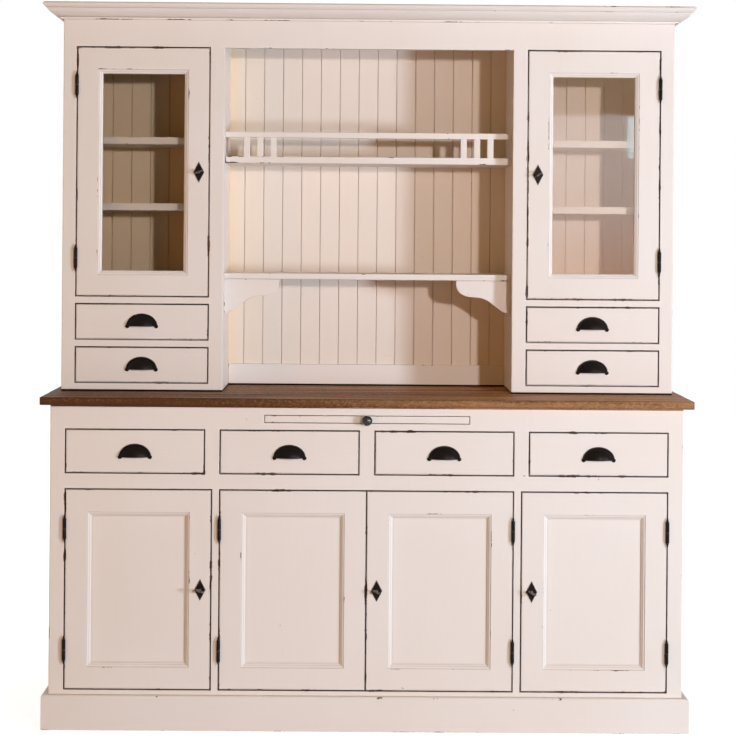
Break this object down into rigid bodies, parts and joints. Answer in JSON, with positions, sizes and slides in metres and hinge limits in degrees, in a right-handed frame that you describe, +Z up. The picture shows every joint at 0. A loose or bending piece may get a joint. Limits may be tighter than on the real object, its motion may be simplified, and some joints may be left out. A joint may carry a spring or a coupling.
{
  "type": "kitchen dresser",
  "caption": "Painted country kitchen dresser: panelled cupboards and drawers under a wooden worktop, with a hutch of glazed cupboards, small drawers and an open shelved bay.",
  "frame": {"origin": "middle of the bounding box on the floor, under the plinth", "axes": "+X to the right as seen from the front, +Y from the front to the back, +Z up"},
  "size_m": [1.853, 0.5008, 2.023],
  "materials": {
    "cream_paint": "distressed satin paint over wood",
    "worktop_wood": "stained and waxed",
    "bare_pine": "bare",
    "black_iron": "blackened",
    "clear_glass": "polished"
  },
  "bodies": {
    "dresser": {"base_carcass": "cream_paint", "base_face_frame": "cream_paint", "base_back_panel": "bare_pine", "plinth": "cream_paint", "worktop": "worktop_wood", "hutch_carcass": "cream_paint", "hutch_face_frame": "cream_paint", "hutch_back_boards": "cream_paint", "hutch_skirting_rail": "cream_paint", "cornice": "cream_paint", "gallery_shelf": "cream_paint", "lower_shelf": "cream_paint", "base_door_far_left_hinge_top": "black_iron", "base_door_far_left_hinge_bottom": "black_iron", "base_door_mid_left_hinge_top": "black_iron", "base_door_mid_left_hinge_bottom": "black_iron", "base_door_mid_right_hinge_top": "black_iron", "base_door_mid_right_hinge_bottom": "black_iron", "base_door_far_right_hinge_top": "black_iron", "base_door_far_right_hinge_bottom": "black_iron", "hutch_door_left_hinge_top": "black_iron", "hutch_door_left_hinge_bottom": "black_iron", "hutch_door_right_hinge_top": "black_iron", "hutch_door_right_hinge_bottom": "black_iron"},
    "base_door_far_left_leaf": {"base_door_far_left": "cream_paint", "base_door_far_left_lock": "black_iron"},
    "base_door_far_left_key": {"base_door_far_left_key": "black_iron"},
    "base_door_mid_left_leaf": {"base_door_mid_left": "cream_paint"},
    "base_door_mid_right_leaf": {"base_door_mid_right": "cream_paint", "base_door_mid_right_lock": "black_iron"},
    "base_door_mid_right_key": {"base_door_mid_right_key": "black_iron"},
    "base_door_far_right_leaf": {"base_door_far_right": "cream_paint", "base_door_far_right_lock": "black_iron"},
    "base_door_far_right_key": {"base_door_far_right_key": "black_iron"},
    "hutch_door_left_leaf": {"hutch_door_left": "cream_paint", "hutch_door_left_glass": "clear_glass", "hutch_door_left_lock": "black_iron"},
    "hutch_door_left_key": {"hutch_door_left_key": "black_iron"},
    "hutch_door_right_leaf": {"hutch_door_right": "cream_paint", "hutch_door_right_glass": "clear_glass", "hutch_door_right_lock": "black_iron"},
    "hutch_door_right_key": {"hutch_door_right_key": "black_iron"},
    "base_drawer_far_left_slide": {"base_drawer_far_left": "cream_paint", "base_drawer_far_left_cup_pull": "black_iron"},
    "base_drawer_mid_left_slide": {"base_drawer_mid_left": "cream_paint", "base_drawer_mid_left_cup_pull": "black_iron"},
    "base_drawer_mid_right_slide": {"base_drawer_mid_right": "cream_paint", "base_drawer_mid_right_cup_pull": "black_iron"},
    "base_drawer_far_right_slide": {"base_drawer_far_right": "cream_paint", "base_drawer_far_right_cup_pull": "black_iron"},
    "hutch_drawer_left_upper_slide": {"hutch_drawer_left_upper": "cream_paint", "hutch_drawer_left_upper_cup_pull": "black_iron"},
    "hutch_drawer_left_lower_slide": {"hutch_drawer_left_lower": "cream_paint", "hutch_drawer_left_lower_cup_pull": "black_iron"},
    "hutch_drawer_right_upper_slide": {"hutch_drawer_right_upper": "cream_paint", "hutch_drawer_right_upper_cup_pull": "black_iron"},
    "hutch_drawer_right_lower_slide": {"hutch_drawer_right_lower": "cream_paint", "hutch_drawer_right_lower_cup_pull": "black_iron"},
    "pull_out_board_slide": {"pull_out_board": "cream_paint", "pull_out_board_knob": "black_iron"}
  },
  "joints": [
    {"name": "base_door_far_left_swing", "type": "hinge", "parent": "dresser", "child": "base_door_far_left_leaf", "pos_m": [-0.8315, -0.22485, 0.3849], "axis": [0, 0, -1], "range_deg": [0, 110]},
    {"name": "base_door_far_left_key_turn", "type": "hinge", "parent": "base_door_far_left_leaf", "child": "base_door_far_left_key", "pos_m": [-0.4577, -0.21955, 0.3849], "axis": [0, -1, 0], "range_deg": [0, 90]},
    {"name": "base_door_mid_left_swing", "type": "hinge", "parent": "dresser", "child": "base_door_mid_left_leaf", "pos_m": [-0.4055, -0.22485, 0.3849], "axis": [0, 0, -1], "range_deg": [0, 110]},
    {"name": "base_door_mid_right_swing", "type": "hinge", "parent": "dresser", "child": "base_door_mid_right_leaf", "pos_m": [0.4055, -0.22485, 0.3849], "axis": [0, 0, 1], "range_deg": [0, 110]},
    {"name": "base_door_mid_right_key_turn", "type": "hinge", "parent": "base_door_mid_right_leaf", "child": "base_door_mid_right_key", "pos_m": [0.0297, -0.21955, 0.3849], "axis": [0, 1, 0], "range_deg": [0, 90]},
    {"name": "base_door_far_right_swing", "type": "hinge", "parent": "dresser", "child": "base_door_far_right_leaf", "pos_m": [0.8315, -0.22485, 0.3849], "axis": [0, 0, 1], "range_deg": [0, 110]},
    {"name": "base_door_far_right_key_turn", "type": "hinge", "parent": "base_door_far_right_leaf", "child": "base_door_far_right_key", "pos_m": [0.4577, -0.21955, 0.3849], "axis": [0, 1, 0], "range_deg": [0, 90]},
    {"name": "hutch_door_left_swing", "type": "hinge", "parent": "dresser", "child": "hutch_door_left_leaf", "pos_m": [-0.8345, -0.03785, 1.5433], "axis": [0, 0, -1], "range_deg": [0, 110]},
    {"name": "hutch_door_left_key_turn", "type": "hinge", "parent": "hutch_door_left_leaf", "child": "hutch_door_left_key", "pos_m": [-0.4852, -0.03255, 1.5435], "axis": [0, -1, 0], "range_deg": [0, 90]},
    {"name": "hutch_door_right_swing", "type": "hinge", "parent": "dresser", "child": "hutch_door_right_leaf", "pos_m": [0.8345, -0.03785, 1.5433], "axis": [0, 0, 1], "range_deg": [0, 110]},
    {"name": "hutch_door_right_key_turn", "type": "hinge", "parent": "hutch_door_right_leaf", "child": "hutch_door_right_key", "pos_m": [0.4852, -0.03255, 1.5435], "axis": [0, 1, 0], "range_deg": [0, 90]},
    {"name": "base_drawer_far_left_pull_out", "type": "slide", "parent": "dresser", "child": "base_drawer_far_left_slide", "axis": [0, -1, 0], "range_m": [0, 0.3]},
    {"name": "base_drawer_mid_left_pull_out", "type": "slide", "parent": "dresser", "child": "base_drawer_mid_left_slide", "axis": [0, -1, 0], "range_m": [0, 0.3]},
    {"name": "base_drawer_mid_right_pull_out", "type": "slide", "parent": "dresser", "child": "base_drawer_mid_right_slide", "axis": [0, -1, 0], "range_m": [0, 0.3]},
    {"name": "base_drawer_far_right_pull_out", "type": "slide", "parent": "dresser", "child": "base_drawer_far_right_slide", "axis": [0, -1, 0], "range_m": [0, 0.3]},
    {"name": "hutch_drawer_left_upper_pull_out", "type": "slide", "parent": "dresser", "child": "hutch_drawer_left_upper_slide", "axis": [0, -1, 0], "range_m": [0, 0.17]},
    {"name": "hutch_drawer_left_lower_pull_out", "type": "slide", "parent": "dresser", "child": "hutch_drawer_left_lower_slide", "axis": [0, -1, 0], "range_m": [0, 0.17]},
    {"name": "hutch_drawer_right_upper_pull_out", "type": "slide", "parent": "dresser", "child": "hutch_drawer_right_upper_slide", "axis": [0, -1, 0], "range_m": [0, 0.17]},
    {"name": "hutch_drawer_right_lower_pull_out", "type": "slide", "parent": "dresser", "child": "hutch_drawer_right_lower_slide", "axis": [0, -1, 0], "range_m": [0, 0.17]},
    {"name": "pull_out_board_pull_out", "type": "slide", "parent": "dresser", "child": "pull_out_board_slide", "axis": [0, -1, 0], "range_m": [0, 0.3]}
  ]
}
